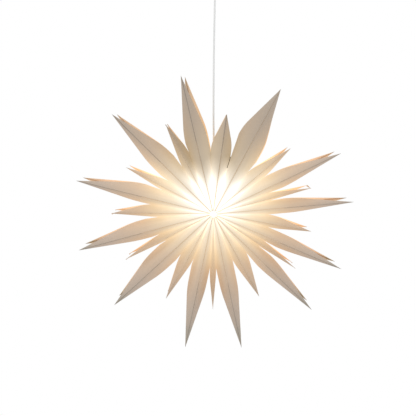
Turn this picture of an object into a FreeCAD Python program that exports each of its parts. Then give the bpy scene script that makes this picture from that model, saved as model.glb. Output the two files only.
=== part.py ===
import FreeCAD, Part
import Sketcher
import math
import os
from FreeCAD import Vector, Placement, Rotation

# Hand-opened star pendant of folded white paper, hung on a thin cord.
# +Z is up, the front faces -Y, and the origin is on the ceiling at the fitting.

document = FreeCAD.newDocument("PaperStarPendant")
sheet = document.addObject("Spreadsheet::Sheet", "Sizes")
values = {}
finished = []


def record(rows):
    for name, value in rows.items():
        values[name] = float(value)
        line = len(values)
        sheet.set("A%d" % line, name)
        sheet.set("B%d" % line, str(value))
        sheet.setAlias("B%d" % line, name)


# Main places: drops below the ceiling and sideways offsets from the fitting's axis.
record({
    "hub_drop": 540,
    "hub_offset": -4.5,
    "lamp_offset": -3,
    "cord_radius": 2.0,
    "pivot_drop": 54,
    "bend_drop": 246,
    "bend_offset": -5.5,
    "cord_end_rise": 106,
    "cord_end_offset": -2.8,
})

# Folded points: reach of the tip, half depths at hub and tip, notch and shoulder.
record({
    "paper": 0.4,
    "hub_hole": 7,
    "glue_strip": 4,
    "lamp_space": 62,
    "mouth_gap": 20,
    "hook_gap": 3,
    "long_hub_depth": 56,
    "long_tip_depth": 51,
    "long_flat": 160,
    "long_bend": 18,
    "short_hub_depth": 45,
    "short_tip_depth": 41,
    "short_flat": 112,
    "short_bend": 15,
    "wide_flat": 135,
})

# Crease direction of each point and direction of the seam after it, in degrees
# clockwise from straight up, the reach of its tip, and how far out its folded
# sides stay joined before and after the crease.
folds = [
    (-13.1, -2.8, 301, 160, 140), (7.8, 18.1, 214, 130, 118),
    (28.3, 40.8, 301, 180, 143), (49.8, 56.0, 216, 112, 132),
    (64.5, 70.9, 301, 142, 160), (75.4, 79.4, 218, 118, 112),
    (85.1, 93.2, 302, 160, 120), (100.5, 105.8, 215, 125, 130),
    (113.4, 119.6, 301, 124, 160), (123.9, 127.6, 215, 118, 112),
    (134.4, 140.9, 299, 160, 155), (151.2, 158.5, 207, 112, 114),
    (168.1, 177.0, 299, 118, 128), (180.2, 183.2, 210, 125, 135),
    (191.8, 202.1, 298, 125, 126), (208.9, 217.3, 213, 112, 115),
    (227.2, 238.0, 292, 136, 140), (242.2, 247.3, 214, 112, 122),
    (254.8, 263.8, 300, 146, 150), (270.0, 276.8, 219, 112, 135),
    (283.7, 292.2, 301, 146, 160), (298.0, 304.8, 212, 108, 114),
    (314.7, 325.0, 302, 140, 150), (332.0, 337.9, 216, 114, 138),
]
for index, fold in enumerate(folds):
    record({
        "crease_turn_%02d" % (index + 1): fold[0],
        "seam_turn_%02d" % (index + 1): fold[1],
        "reach_%02d" % (index + 1): fold[2],
        "notch_before_%02d" % (index + 1): fold[3],
        "notch_after_%02d" % (index + 1): fold[4],
    })

# Lamp holder, hanger and bulb: rises are above the hub.
record({
    "shell_rise": 64,
    "shell_height": 32,
    "shell_radius": 13.5,
    "shell_neck": 13,
    "stop_radius": 15,
    "stop_low": 11,
    "stop_high": 14,
    "mouth_bore": 7.4,
    "chamber_floor": 24,
    "chamber_bore": 11,
    "block_radius": 10.7,
    "block_height": 7,
    "spring_radius": 3,
    "spring_height": 1.2,
    "ring_play": 4,
    "ring_height": 6,
    "ring_radius": 18,
    "ring_bore": 13.3,
    "ring_rib": 19,
    "ring_step": 2,
    "cap_height": 25,
    "cap_skirt": 8,
    "cap_shoulder": 8.5,
    "cap_wall": 2,
    "cap_inside": 12,
    "cap_hole": 3.1,
    "cap_roof": 22,
    "rest_height": 0.8,
    "rest_width": 3,
    "rest_inner": 4.8,
    "rest_outer": 7.4,
    "gland_stem": 3,
    "gland_drop": 6,
    "gland_flange": 4.5,
    "gland_collar": 12,
    "gland_tip": 3.2,
    "gland_height": 16,
    "gland_bore": 2.5,
    "wire_radius": 0.6,
    "hanger_ring": 6,
    "hanger_play": 0.12,
    "hanger_reach": 128,
    "hook_outer": 118,
    "hook_inner": 101,
    "hook_depth": 13,
    "far_hook_depth": 6,
    "contact_gap": 0.3,
    "globe_radius": 22.5,
    "glass": 0.8,
    "neck_radius": 8,
    "neck_height": 28.5,
    "screw_height": 21,
    "screw_radius": 6.9,
    "screw_root": 6.3,
    "screw_wall": 0.5,
    "screw_pitch": 2.8,
    "disc_radius": 5,
    "disc_height": 2.4,
    "tip_radius": 2.2,
    "tip_height": 1.3,
    "stem_radius": 3,
    "strand_radius": 0.9,
    "strand_height": 24,
    "strand_ring": 7,
    "strand_plate": 0.6,
    "strand_drop": 11,
})

# Ceiling fitting: heights are drops below the ceiling.
record({
    "ear_gap": 5,
    "bar_width": 18,
    "bar_sheet": 1.5,
    "ear_height": 16,
    "fixing_span": 56,
    "fixing_hole": 2.5,
    "side_hole_drop": 9,
    "side_hole": 1.7,
    "cup_radius": 45,
    "cup_height": 42,
    "cup_wall": 1.5,
    "cup_side_hole": 2.1,
    "cup_floor_hole": 5.2,
    "cup_chamfer": 8,
    "stud_radius": 1.6,
    "stud_length": 8,
    "knob_radius": 3.6,
    "knob_length": 4,
    "nipple_radius": 5,
    "nipple_bore": 2.3,
    "nipple_up": 12,
    "nipple_flange": 8,
    "nipple_flange_height": 4,
    "nipple_skirt": 15,
    "nipple_nose": 5,
    "nipple_flare": 3.8,
    "grub_radius": 1.3,
    "grub_length": 2.4,
    "nut_radius": 8,
    "nut_height": 4,
    "block_long": 20,
    "block_wide": 16,
    "block_tall": 12,
    "conductor_radius": 0.8,
    "conductor_hole": 1.2,
    "conductor_spread": 4,
    "tail_top": 28,
    "tail_gap": 0.8,
})

document.recompute()


def size(name):
    return values[name]


def amount(text):
    # Value of a plain sum of sheet names and numbers, such as "cup_height - cup_wall".
    total = 0.0
    sign = 1.0
    for word in text.split():
        if word == "+":
            sign = 1.0
        elif word == "-":
            sign = -1.0
        elif word in values:
            total += sign * values[word]
        else:
            total += sign * float(word)
    return total


def bound(text):
    words = []
    for word in text.split():
        words.append("Sizes." + word if word in values else word)
    return " ".join(words)


def place(item, x, y, z):
    for axis, text in (("x", x), ("y", y), ("z", z)):
        item.setExpression("Placement.Base." + axis, bound(text))


def finish(item, label):
    item.Label = label
    finished.append(item)
    return item


def originPlane(body, role):
    for item in body.Origin.OriginFeatures:
        if item.Role == role:
            return item
    return None


def sketchOn(body, role, name):
    sketch = body.newObject("Sketcher::SketchObject", name)
    sketch.AttachmentSupport = (originPlane(body, role), [""])
    sketch.MapMode = "FlatFace"
    return sketch


def pin(sketch, geometry, spot, corner):
    rules = (("DistanceX", corner[0], -2), ("DistanceY", corner[1], -1))
    for kind, text, axis in rules:
        if abs(amount(text)) < 1e-9:
            sketch.addConstraint(Sketcher.Constraint("PointOnObject", geometry, spot, axis))
        else:
            rule = Sketcher.Constraint(kind, -1, 1, geometry, spot, amount(text))
            number = sketch.addConstraint(rule)
            sketch.setExpression("Constraints[%d]" % number, bound(text))


def drawOutline(sketch, corners):
    points = [Vector(amount(corner[0]), amount(corner[1]), 0) for corner in corners]
    count = len(points)
    for index in range(count):
        line = Part.LineSegment(points[index], points[(index + 1) % count])
        sketch.addGeometry(line, False)
    for index in range(count):
        rule = Sketcher.Constraint("Coincident", index, 2, (index + 1) % count, 1)
        sketch.addConstraint(rule)
    for index in range(count):
        pin(sketch, index, 1, corners[index])


def turned(name, corners):
    # Body of revolution about its own Z axis, profile in radius and height.
    body = document.addObject("PartDesign::Body", name)
    sketch = sketchOn(body, "XZ_Plane", name + "Profile")
    drawOutline(sketch, corners)
    round = body.newObject("PartDesign::Revolution", name + "Round")
    round.Profile = sketch
    round.ReferenceAxis = (sketch, ["V_Axis"])
    round.Angle = 360
    body.Tip = round
    document.recompute()
    return body


def box(name, length, width, height, x, y, z):
    item = document.addObject("Part::Box", name)
    item.setExpression("Length", bound(length))
    item.setExpression("Width", bound(width))
    item.setExpression("Height", bound(height))
    place(item, x, y, z)
    return item


def rod(name, radius, height, x, y, z, axis="z"):
    item = document.addObject("Part::Cylinder", name)
    item.setExpression("Radius", bound(radius))
    item.setExpression("Height", bound(height))
    if axis == "x":
        item.Placement = Placement(Vector(0, 0, 0), Rotation(Vector(0, 1, 0), 90))
    if axis == "y":
        item.Placement = Placement(Vector(0, 0, 0), Rotation(Vector(1, 0, 0), -90))
    place(item, x, y, z)
    return item


def joined(name, items):
    result = document.addObject("Part::MultiFuse", name)
    result.Shapes = items
    result.Refine = True
    return result


def cutAway(name, base, tools):
    tool = tools[0]
    if len(tools) > 1:
        tool = joined(name + "Tools", tools)
    result = document.addObject("Part::Cut", name)
    result.Base = base
    result.Tool = tool
    return result


def tubeWire(points, ratio):
    # Straight runs joined by tangent arcs, the radius from the shorter neighbour run.
    edges = []
    start = points[0]
    for index in range(1, len(points) - 1):
        before = points[index] - points[index - 1]
        after = points[index + 1] - points[index]
        half = before.getAngle(after) / 2.0
        reach = ratio * min(before.Length, after.Length)
        radius = reach / math.tan(half)
        into = Vector(before).normalize()
        out = Vector(after).normalize()
        first = points[index] - into * reach
        last = points[index] + out * reach
        inward = (out - into).normalize()
        middle = points[index] + inward * (radius / math.cos(half) - radius)
        edges.append(Part.LineSegment(start, first).toShape())
        edges.append(Part.Arc(first, middle, last).toShape())
        start = last
        print("bend %d radius %.1f" % (index, radius))
    edges.append(Part.LineSegment(start, points[-1]).toShape())
    return Part.Wire(edges)


def tube(points, radius, ratio=0.45):
    wire = tubeWire(points, ratio)
    along = points[1] - points[0]
    ring = Part.Wire([Part.Circle(points[0], along, radius).toShape()])
    shape = wire.makePipeShell([ring], True, False)
    if not shape.isValid() or shape.Volume < 0:
        shape.reverse()
    expected = math.pi * radius * radius * wire.Length
    print("tube volume %.1f of %.1f" % (abs(shape.Volume), expected))
    return shape


def feature(name, label, shape, placement):
    item = document.addObject("Part::Feature", name)
    item.Shape = shape
    item.Placement = placement
    return finish(item, label)


def hubPlacement():
    return Placement(Vector(size("hub_offset"), 0, -size("hub_drop")), Rotation())


# Wire hanger.
def polar(reach, turn, depth):
    angle = math.radians(turn)
    return Vector(reach * math.sin(angle), depth, reach * math.cos(angle))


def hangerShape(radius):
    # Ring round the cord and two arms, each ending in a hook at a paper seam: the
    # right one comes forward over its seam, the left one goes through to the rear.
    height = size("shell_rise") + size("shell_height") + size("cap_height")
    height += size("rest_height") + size("wire_radius") + size("hanger_play")
    centre = Vector(size("lamp_offset") - size("hub_offset"), 0, height)
    ring = Part.makeTorus(size("hanger_ring"), radius, centre, Vector(0, 0, 1))
    pieces = [ring]
    sides = ((1, size("seam_turn_02") - 0.7, -size("hook_depth")),
             (-1, size("seam_turn_24") - 362, size("far_hook_depth")))
    for side, turn, depth in sides:
        start = centre + Vector(side * size("hanger_ring"), 0, 0)
        outer = polar(size("hanger_reach"), turn, 0)
        bend = polar(size("hook_outer"), turn, depth)
        end = polar(size("hook_inner"), turn, depth)
        pieces.append(tube([start, outer, bend, end], radius, 0.3))
    shape = pieces[0]
    for piece in pieces[1:]:
        shape = shape.fuse(piece)
    return shape.removeSplitter()


# Folded points.
def quarter(kind, side, swing, reach, notch, flat, gap):
    # Rear half of one side of a point, in radial, tangential and depth directions:
    # the facet from crease to seam, and the web in the seam's plane.
    hole = size("hub_hole")
    thick = size("paper")
    hubDepth = size(kind + "_hub_depth")
    tipDepth = size(kind + "_tip_depth")
    lean = math.radians(swing)
    slope = (tipDepth - hubDepth) / (reach - hole)
    notchAlong = notch * math.cos(lean)
    notchAcross = notch * math.sin(lean)
    notchCrease = hubDepth + slope * (notchAlong - hole)
    spread = notchAcross / (notchCrease - gap)

    def onFacet(along, depth):
        crease = hubDepth + slope * (along - hole)
        return Vector(along, side * spread * (crease - depth), depth)

    def valley(along):
        return hubDepth + slope * (along - hole) - along * math.tan(lean) / spread

    level = max(notchAlong + 0.5, flat)
    bend = size(kind + "_bend")
    taper = math.atan2(tipDepth - gap, reach - level - bend)
    radius = bend / math.tan(taper / 2)
    start = onFacet(notchAlong, gap)
    curve = onFacet(level, gap)
    middle = onFacet(level + radius * math.sin(taper / 2),
                     gap + radius * (1 - math.cos(taper / 2)))
    end = onFacet(level + radius * math.sin(taper),
                  gap + radius * (1 - math.cos(taper)))
    tip = Vector(reach, 0, tipDepth)
    hubTop = Vector(hole, 0, hubDepth)
    hubLow = onFacet(hole, valley(hole))
    edges = [Part.LineSegment(start, curve).toShape()]
    edges.append(Part.Arc(curve, middle, end).toShape())
    corners = [end, tip, hubTop, hubLow, start]
    for index in range(len(corners) - 1):
        edges.append(Part.LineSegment(corners[index], corners[index + 1]).toShape())
    facet = Part.Face(Part.Wire(edges))
    outward = Vector(-spread * slope, side, spread).normalize()
    slab = facet.extrude(outward * -thick)

    def onSeam(distance, depth):
        return Vector(distance * math.cos(lean), side * distance * math.sin(lean), depth)

    near = hole / math.cos(lean)
    room = size("lamp_space")
    strip = size("glue_strip")
    nearDepth = valley(hole)
    roomDepth = valley(room * math.cos(lean))
    seam = [(near, nearDepth), (near, nearDepth - strip)]
    if gap > strip:
        seam += [(notch, gap - strip), (notch, gap)]
    else:
        seam += [(room, roomDepth - strip), (room, 0), (notch, 0)]
        if gap > 0:
            seam.append((notch, gap))
    points = [onSeam(distance, depth) for distance, depth in seam]
    web = Part.Face(Part.makePolygon(points + [points[0]]))
    inward = Vector(math.sin(lean), -side * math.cos(lean), 0)
    sheetShape = web.extrude(inward * thick)

    corner = Vector(0, 0, 0) if side > 0 else Vector(0, -reach, 0)
    half = Part.makeBox(reach + hole, reach, hubDepth + hole, corner)
    return slab.fuse(sheetShape).common(half)


def foldedPoint(number, hanger):
    kind = "long" if number % 2 == 1 else "short"
    turn = size("crease_turn_%02d" % number)
    reach = size("reach_%02d" % number)
    after = size("seam_turn_%02d" % number) - turn
    earlier = size("seam_turn_%02d" % ((number - 2) % 24 + 1))
    if number == 1:
        earlier -= 360
    before = turn - earlier
    gapAfter = {1: size("mouth_gap"), 2: size("hook_gap")}.get(number, 0)
    gapBefore = size("mouth_gap") if number == 2 else 0
    flat = size("wide_flat") if number == 2 else size(kind + "_flat")
    notchAfter = size("notch_after_%02d" % number)
    notchBefore = size("notch_before_%02d" % number)
    shape = None
    sides = ((1, after, notchAfter, gapAfter), (-1, before, notchBefore, gapBefore))
    for side, swing, notch, gap in sides:
        rear = quarter(kind, side, swing, reach, notch, flat, gap)
        front = rear.mirror(Vector(0, 0, 0), Vector(0, 0, 1))
        both = rear.fuse(front)
        shape = both if shape is None else shape.fuse(both)
    shape = shape.removeSplitter()
    angle = math.radians(turn)
    matrix = FreeCAD.Matrix(
        math.sin(angle), math.cos(angle), 0, size("hub_offset"),
        0, 0, 1, 0,
        math.cos(angle), -math.sin(angle), 0, -size("hub_drop"),
        0, 0, 0, 1)
    placement = Placement(matrix)
    if hanger is not None:
        tool = hanger.copy()
        tool.Placement = placement.inverse().multiply(hubPlacement())
        shape = shape.cut(tool)
    solids = sorted(shape.Solids, key=lambda solid: solid.Volume)
    label = "%s_point_%02d" % (kind, (number + 1) // 2)
    return feature("Point%02d" % number, label, solids[-1], placement)


wireHanger = hangerShape(size("wire_radius"))
wireRoom = hangerShape(size("wire_radius") + 0.15)
feature("WireHanger", "wire_hanger", wireHanger, hubPlacement())
for number in range(1, 25):
    foldedPoint(number, wireRoom if number in (1, 2, 24) else None)

# Lamp holder.
rise = "shell_rise - hub_drop"

shell = turned("HolderShell", [
    ("mouth_bore", "0"), ("shell_neck", "0"), ("shell_neck", "stop_low"),
    ("stop_radius", "stop_low"), ("stop_radius", "stop_high"),
    ("shell_radius", "stop_high"), ("shell_radius", "shell_height"),
    ("chamber_bore", "shell_height"), ("chamber_bore", "chamber_floor"),
    ("mouth_bore", "chamber_floor"),
])
place(shell, "lamp_offset", "0", rise)
finish(shell, "holder_shell")

ring = turned("ShadeRing", [
    ("ring_bore", "0"), ("ring_rib", "0"), ("ring_rib", "ring_step"),
    ("ring_radius", "ring_step + 0.6"), ("ring_radius", "ring_height"),
    ("ring_bore", "ring_height"),
])
place(ring, "lamp_offset", "0", rise + " + ring_play")
finish(ring, "shade_ring")

block = turned("ContactBlock", [
    ("spring_radius + 0.4", "0"), ("block_radius", "0"), ("block_radius", "block_height"),
    ("1", "block_height"), ("1", "spring_height"), ("spring_radius + 0.4", "spring_height"),
])
place(block, "lamp_offset", "0", rise + " + chamber_floor")
finish(block, "contact_block")

spring = turned("CentreContact", [
    ("0", "0"), ("spring_radius", "0"), ("spring_radius", "spring_height"),
    ("0.9", "spring_height"), ("0.9", "block_height + 1"), ("0", "block_height + 1"),
])
place(spring, "lamp_offset", "0", rise + " + chamber_floor")
finish(spring, "centre_contact")

cap = turned("HolderCap", [
    ("cap_inside", "0"), ("shell_radius", "0"), ("shell_radius", "cap_skirt"),
    ("cap_shoulder + 3.2", "cap_height - 6"), ("cap_shoulder", "cap_height"),
    ("cap_hole", "cap_height"), ("cap_hole", "cap_roof"), ("cap_shoulder", "cap_height - 8"),
    ("cap_inside", "cap_skirt - 1"),
])
rests = sketchOn(cap, "XY_Plane", "HolderCapRests")
rests.AttachmentOffset = Placement(Vector(0, 0, size("cap_height")), Rotation())
rests.setExpression("AttachmentOffset.Base.z", bound("cap_height"))
for side in (1, -1):
    inner = side * size("rest_inner")
    outer = side * size("rest_outer")
    half = size("rest_width") / 2
    corners = [Vector(inner, -half, 0), Vector(outer, -half, 0)]
    corners += [Vector(outer, half, 0), Vector(inner, half, 0)]
    for index in range(4):
        rests.addGeometry(Part.LineSegment(corners[index], corners[(index + 1) % 4]), False)
    first = 0 if side > 0 else 4
    for index in range(4):
        following = first + (index + 1) % 4
        rests.addConstraint(Sketcher.Constraint("Coincident", first + index, 2, following, 1))
    for index in (0, 2):
        rests.addConstraint(Sketcher.Constraint("Horizontal", first + index))
    for index in (1, 3):
        rests.addConstraint(Sketcher.Constraint("Vertical", first + index))
pads = cap.newObject("PartDesign::Pad", "HolderCapPads")
pads.Profile = rests
pads.setExpression("Length", bound("rest_height"))
cap.Tip = pads
place(cap, "lamp_offset", "0", rise + " + shell_height")
finish(cap, "holder_cap")

gland = turned("CordGland", [
    ("gland_bore", "0"), ("gland_stem", "0"), ("gland_stem", "gland_drop"),
    ("gland_flange", "gland_drop"), ("gland_flange", "gland_collar"),
    ("gland_tip", "gland_height"), ("gland_bore", "gland_height"),
])
place(gland, "lamp_offset", "0", rise + " + shell_height + cap_height - gland_drop")
finish(gland, "cord_gland")

# Bulb.
# It is screwed home, so that its tip stands just under the spring contact.
globeRise = "shell_rise - hub_drop + chamber_floor - contact_gap - tip_height"
globeRise += " - disc_height - screw_height - neck_height"
screwRise = globeRise + " + neck_height"
outerBall = document.addObject("Part::Sphere", "GlobeOuter")
outerBall.setExpression("Radius", bound("globe_radius"))
outerNeck = rod("GlobeNeck", "neck_radius", "neck_height", "0", "0", "0")
innerBall = document.addObject("Part::Sphere", "GlobeInner")
innerBall.setExpression("Radius", bound("globe_radius - glass"))
innerNeck = rod("GlobeThroat", "neck_radius - glass", "neck_height + 1", "0", "0", "0")
globe = cutAway("Globe", joined("GlobeSolid", [outerBall, outerNeck]), [innerBall, innerNeck])
place(globe, "lamp_offset", "0", globeRise)
finish(globe, "bulb_globe")

threads = [("screw_root - screw_wall", "0"), ("neck_radius", "0"), ("neck_radius", "0.4")]
steps = int(size("screw_height") / size("screw_pitch")) - 1
for step in range(steps):
    low = step * size("screw_pitch") + 1.4
    threads.append(("screw_root", "%.2f" % low))
    threads.append(("screw_radius", "%.2f" % (low + 1.1)))
    threads.append(("screw_radius", "%.2f" % (low + 1.7)))
threads += [("screw_root", "screw_height - 2"), ("disc_radius", "screw_height")]
threads += [("disc_radius - 0.6", "screw_height"), ("screw_root - screw_wall", "screw_height - 2")]
screw = turned("BulbScrew", threads)
place(screw, "lamp_offset", "0", screwRise)
finish(screw, "bulb_screw_cap")

disc = turned("BulbDisc", [
    ("0", "0"), ("disc_radius", "0"), ("tip_radius + 0.4", "disc_height"), ("0", "disc_height"),
])
place(disc, "lamp_offset", "0", screwRise + " + screw_height")
finish(disc, "bulb_insulator")

tip = turned("BulbTip", [
    ("0", "0"), ("tip_radius", "0"), ("tip_radius - 0.8", "tip_height"),
    ("0", "tip_height"),
])
place(tip, "lamp_offset", "0", screwRise + " + screw_height + disc_height")
finish(tip, "bulb_tip")

stemTop = "neck_height + strand_drop - strand_plate"
stem = turned("BulbStem", [
    ("0", "0"), ("1.2", "0"), ("1.2", "12"), ("stem_radius", "20"),
    ("stem_radius", stemTop + " - 6"), ("neck_radius - glass - 0.1", stemTop), ("0", stemTop),
])
strands = [stem]
place(stem, "0", "0", "0")
hanging = []
for index in range(4):
    turn = math.radians(45 + 90 * index)
    across = "%.3f" % (size("strand_ring") * math.cos(turn))
    deep = "%.3f" % (size("strand_ring") * math.sin(turn))
    hanging.append(rod("Strand%d" % index, "strand_radius", "strand_height", across, deep, "0"))
plate = rod("StrandPlate", "strand_ring + 1", "strand_plate", "0", "0", "0")
filament = joined("Filament", hanging + [plate])
place(filament, "lamp_offset", "0", globeRise + " - strand_drop")
place(stem, "lamp_offset", "0", globeRise + " - strand_drop + strand_plate")
finish(stem, "bulb_stem")
finish(filament, "bulb_filament")

# Cord.
top = Vector(0, 0, -size("pivot_drop"))
bend = Vector(size("bend_offset"), 0, -size("bend_drop"))
low = Vector(size("cord_end_offset"), 0, size("cord_end_rise") - size("hub_drop"))
cordShape = tube([top - top, bend - top, low - top], size("cord_radius"))
feature("Cord", "cord", cordShape, Placement(top, Rotation()))

# Ceiling fitting.
barHalf = "cup_radius - ear_gap"
bar = box("Bar", "cup_radius + " + barHalf + " - ear_gap", "bar_width", "bar_sheet",
          "0 - cup_radius + ear_gap", "0 - bar_width + 9", "0 - bar_sheet")
ears = []
for name, sign in (("EarRight", 1), ("EarLeft", -1)):
    ear = box(name, "bar_sheet", "bar_width", "ear_height", "0", "0 - bar_width + 9",
              "0 - ear_height")
    edge = barHalf + " - bar_sheet" if sign > 0 else "0 - cup_radius + ear_gap"
    ear.setExpression("Placement.Base.x", bound(edge))
    ears.append(ear)
holes = []
for name, sign in (("FixingRight", ""), ("FixingLeft", "-")):
    hole = rod(name, "fixing_hole", "bar_sheet + 2", "0", "0", "0 - bar_sheet - 1")
    hole.setExpression("Placement.Base.x", sign + "Sizes.fixing_span / 2")
    holes.append(hole)
across = rod("SideTaps", "side_hole", "cup_radius + cup_radius", "0 - cup_radius", "0",
             "0 - side_hole_drop", "x")
holes.append(across)
bracket = cutAway("Bracket", joined("BracketSheet", [bar] + ears), holes)
finish(bracket, "ceiling_bracket")

cupTurned = turned("CupTurned", [
    ("cup_floor_hole", "0"), ("cup_radius - cup_chamfer", "0"), ("cup_radius", "cup_chamfer"),
    ("cup_radius", "cup_height - 0.5"), ("cup_radius - cup_wall", "cup_height - 0.5"),
    ("cup_radius - cup_wall", "cup_chamfer + 0.6"),
    ("cup_radius - cup_chamfer - 0.6", "cup_wall"), ("cup_floor_hole", "cup_wall"),
])
place(cupTurned, "0", "0", "0")
sideHoles = rod("CupSideHoles", "cup_side_hole", "cup_radius + cup_radius + 4", "0", "0",
                "cup_height - side_hole_drop", "x")
sideHoles.setExpression("Placement.Base.x", "-Sizes.cup_radius - 2")
cup = cutAway("Cup", cupTurned, [sideHoles])
place(cup, "0", "0", "0 - cup_height")
finish(cup, "ceiling_cup")

for name, label, sign in (("ScrewRight", "cup_screw_right", 1), ("ScrewLeft", "cup_screw_left", -1)):
    screwBody = turned(name, [
        ("0", "0"), ("stud_radius", "0"), ("stud_radius", "stud_length"),
        ("knob_radius", "stud_length"), ("knob_radius", "stud_length + knob_length - 0.8"),
        ("knob_radius - 0.8", "stud_length + knob_length"), ("0", "stud_length + knob_length"),
    ])
    screwBody.Placement = Placement(Vector(0, 0, 0), Rotation(Vector(0, 1, 0), 90 * sign))
    place(screwBody, "0", "0", "0 - side_hole_drop")
    start = "Sizes.cup_radius - Sizes.stud_length"
    screwBody.setExpression("Placement.Base.x", start if sign > 0 else "-(" + start + ")")
    finish(screwBody, label)

nipple = turned("Nipple", [
    ("nipple_flare", "0"), ("nipple_nose", "0"),
    ("nipple_flange - 1", "nipple_skirt - nipple_flange_height"),
    ("nipple_flange", "nipple_skirt - nipple_flange_height"),
    ("nipple_flange", "nipple_skirt"), ("nipple_radius", "nipple_skirt"),
    ("nipple_radius", "nipple_skirt + nipple_up"), ("nipple_bore", "nipple_skirt + nipple_up"),
    ("nipple_bore", "nipple_flange_height"),
])
place(nipple, "0", "0", "0")
grubHole = rod("GrubHole", "grub_radius + 0.1", "12", "0", "0", "nipple_skirt - 2", "x")
grip = cutAway("CordGrip", nipple, [grubHole])
place(grip, "0", "0", "0 - cup_height - nipple_skirt")
finish(grip, "cord_grip")

grub = rod("GrubScrew", "grub_radius", "grub_length + 3", "0", "0", "0", "x")
place(grub, "cord_radius + 0.5", "0", "0 - cup_height - 2")
finish(grub, "grip_screw")

hexagon = document.addObject("Part::Prism", "NutSolid")
hexagon.Polygon = 6
hexagon.setExpression("Circumradius", bound("nut_radius"))
hexagon.setExpression("Height", bound("nut_height"))
nutHole = rod("NutHole", "nipple_radius + 0.1", "nut_height + 2", "0", "0", "0 - 1")
nut = cutAway("Nut", hexagon, [nutHole])
place(nut, "0", "0", "0 - cup_height + cup_wall")
finish(nut, "grip_nut")

body = box("TerminalSolid", "block_long", "block_wide", "block_tall", "0", "0", "0")
body.setExpression("Placement.Base.x", "-Sizes.block_long / 2")
body.setExpression("Placement.Base.y", "-Sizes.block_wide / 2")
entries = []
for name, sign in (("EntryRear", ""), ("EntryFront", "-")):
    entry = rod(name, "conductor_hole", "7", "0", "0", "0 - 1")
    entry.setExpression("Placement.Base.y", sign + "Sizes.conductor_spread")
    entries.append(entry)
terminal = cutAway("Terminal", body, entries)
place(terminal, "0", "0", "0 - bar_sheet - block_tall")
finish(terminal, "terminal_block")

tailHeight = size("pivot_drop") - size("tail_gap") - size("tail_top")
tail = rod("CordTail", "cord_radius", "pivot_drop - tail_gap - tail_top", "0", "0", "0")
place(tail, "0", "0", "tail_gap - pivot_drop")
finish(tail, "cord_tail")

foot = Vector(0, 0, -size("tail_top"))
for name, label, sign in (("WireRear", "wire_live", 1), ("WireFront", "wire_neutral", -1)):
    spread = size("conductor_spread")
    route = [Vector(0, sign * 0.95, 0), Vector(0, sign * 0.95, 4.5)]
    route += [Vector(0, sign * spread, 11.5), Vector(0, sign * spread, 19)]
    feature(name, label, tube(route, size("conductor_radius")), Placement(foot, Rotation()))

document.recompute()

# Checks and files.
faults = []
for item in document.Objects:
    for word in item.State:
        if word in ("Invalid", "Error"):
            faults.append("%s is %s" % (item.Name, word))
names = []
for item in finished:
    if item.Shape.isNull() or not item.Shape.isValid():
        faults.append(item.Label + " has a bad shape")
    elif len(item.Shape.Solids) != 1:
        faults.append("%s has %d solids" % (item.Label, len(item.Shape.Solids)))
    names.append(item.Label)
if len(set(names)) != len(names):
    faults.append("two sub-parts share a label")
if faults:
    raise RuntimeError("; ".join(faults))

os.makedirs("parts", exist_ok=True)
for item in finished:
    item.Shape.exportStep("parts/" + item.Label + ".step")
    print("%s volume %.1f" % (item.Label, item.Shape.Volume))
print("sub-parts %d" % len(finished))
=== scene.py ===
import bmesh
import bpy
import math
from mathutils import Matrix, Vector, noise


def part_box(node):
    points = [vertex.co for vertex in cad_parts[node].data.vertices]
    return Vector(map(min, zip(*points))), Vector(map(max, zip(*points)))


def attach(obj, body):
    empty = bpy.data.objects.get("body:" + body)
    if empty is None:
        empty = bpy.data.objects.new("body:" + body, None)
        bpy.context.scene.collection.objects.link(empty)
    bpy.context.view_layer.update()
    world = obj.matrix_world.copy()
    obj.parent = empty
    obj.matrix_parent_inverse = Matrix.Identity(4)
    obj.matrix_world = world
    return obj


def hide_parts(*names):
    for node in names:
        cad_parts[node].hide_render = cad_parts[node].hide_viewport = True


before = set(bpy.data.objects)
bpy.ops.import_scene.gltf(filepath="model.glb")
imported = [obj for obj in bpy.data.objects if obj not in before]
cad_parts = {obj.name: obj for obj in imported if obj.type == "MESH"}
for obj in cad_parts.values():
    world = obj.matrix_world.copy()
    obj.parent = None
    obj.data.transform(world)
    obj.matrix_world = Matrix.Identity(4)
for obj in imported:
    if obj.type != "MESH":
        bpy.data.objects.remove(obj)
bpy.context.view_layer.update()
hub = Vector((-0.0045, 0.0, -0.540))
lampX = -0.003
lampCentre = Vector((lampX, 0.0, -0.505))
print("frame loaded")


def newObject(name, data):
    item = bpy.data.objects.new(name, data)
    bpy.context.scene.collection.objects.link(item)
    return item


# camera: the star fills the frame from 2 m, seen from slightly above
cameraSet = {"distance": 2.0, "elevation": 6.0, "focal": 911.0, "hubPixel": (213.2, 211.5), "side": 416}
cameraData = bpy.data.cameras.new("camera")
camera = newObject("camera", cameraData)
tilt = math.radians(cameraSet["elevation"])
camera.location = hub + Vector((0, -math.cos(tilt), math.sin(tilt))) * cameraSet["distance"]
camera.rotation_euler = (math.pi / 2 - tilt, 0, 0)
cameraData.sensor_width = 36
cameraData.lens = cameraSet["focal"] / cameraSet["side"] * 36
cameraData.shift_x = -(cameraSet["hubPixel"][0] - cameraSet["side"] / 2) / cameraSet["side"]
cameraData.shift_y = (cameraSet["hubPixel"][1] - cameraSet["side"] / 2) / cameraSet["side"]
cameraData.clip_end = 30
bpy.context.scene.camera = camera


def mathNode(tree, operation, first, second=0.5, third=0.0, clamp=False):
    node = tree.nodes.new("ShaderNodeMath")
    node.operation = operation
    node.use_clamp = clamp
    for slot, value in enumerate((first, second, third)):
        if isinstance(value, bpy.types.NodeSocket):
            tree.links.new(value, node.inputs[slot])
        else:
            node.inputs[slot].default_value = value
    return node.outputs[0]


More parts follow.
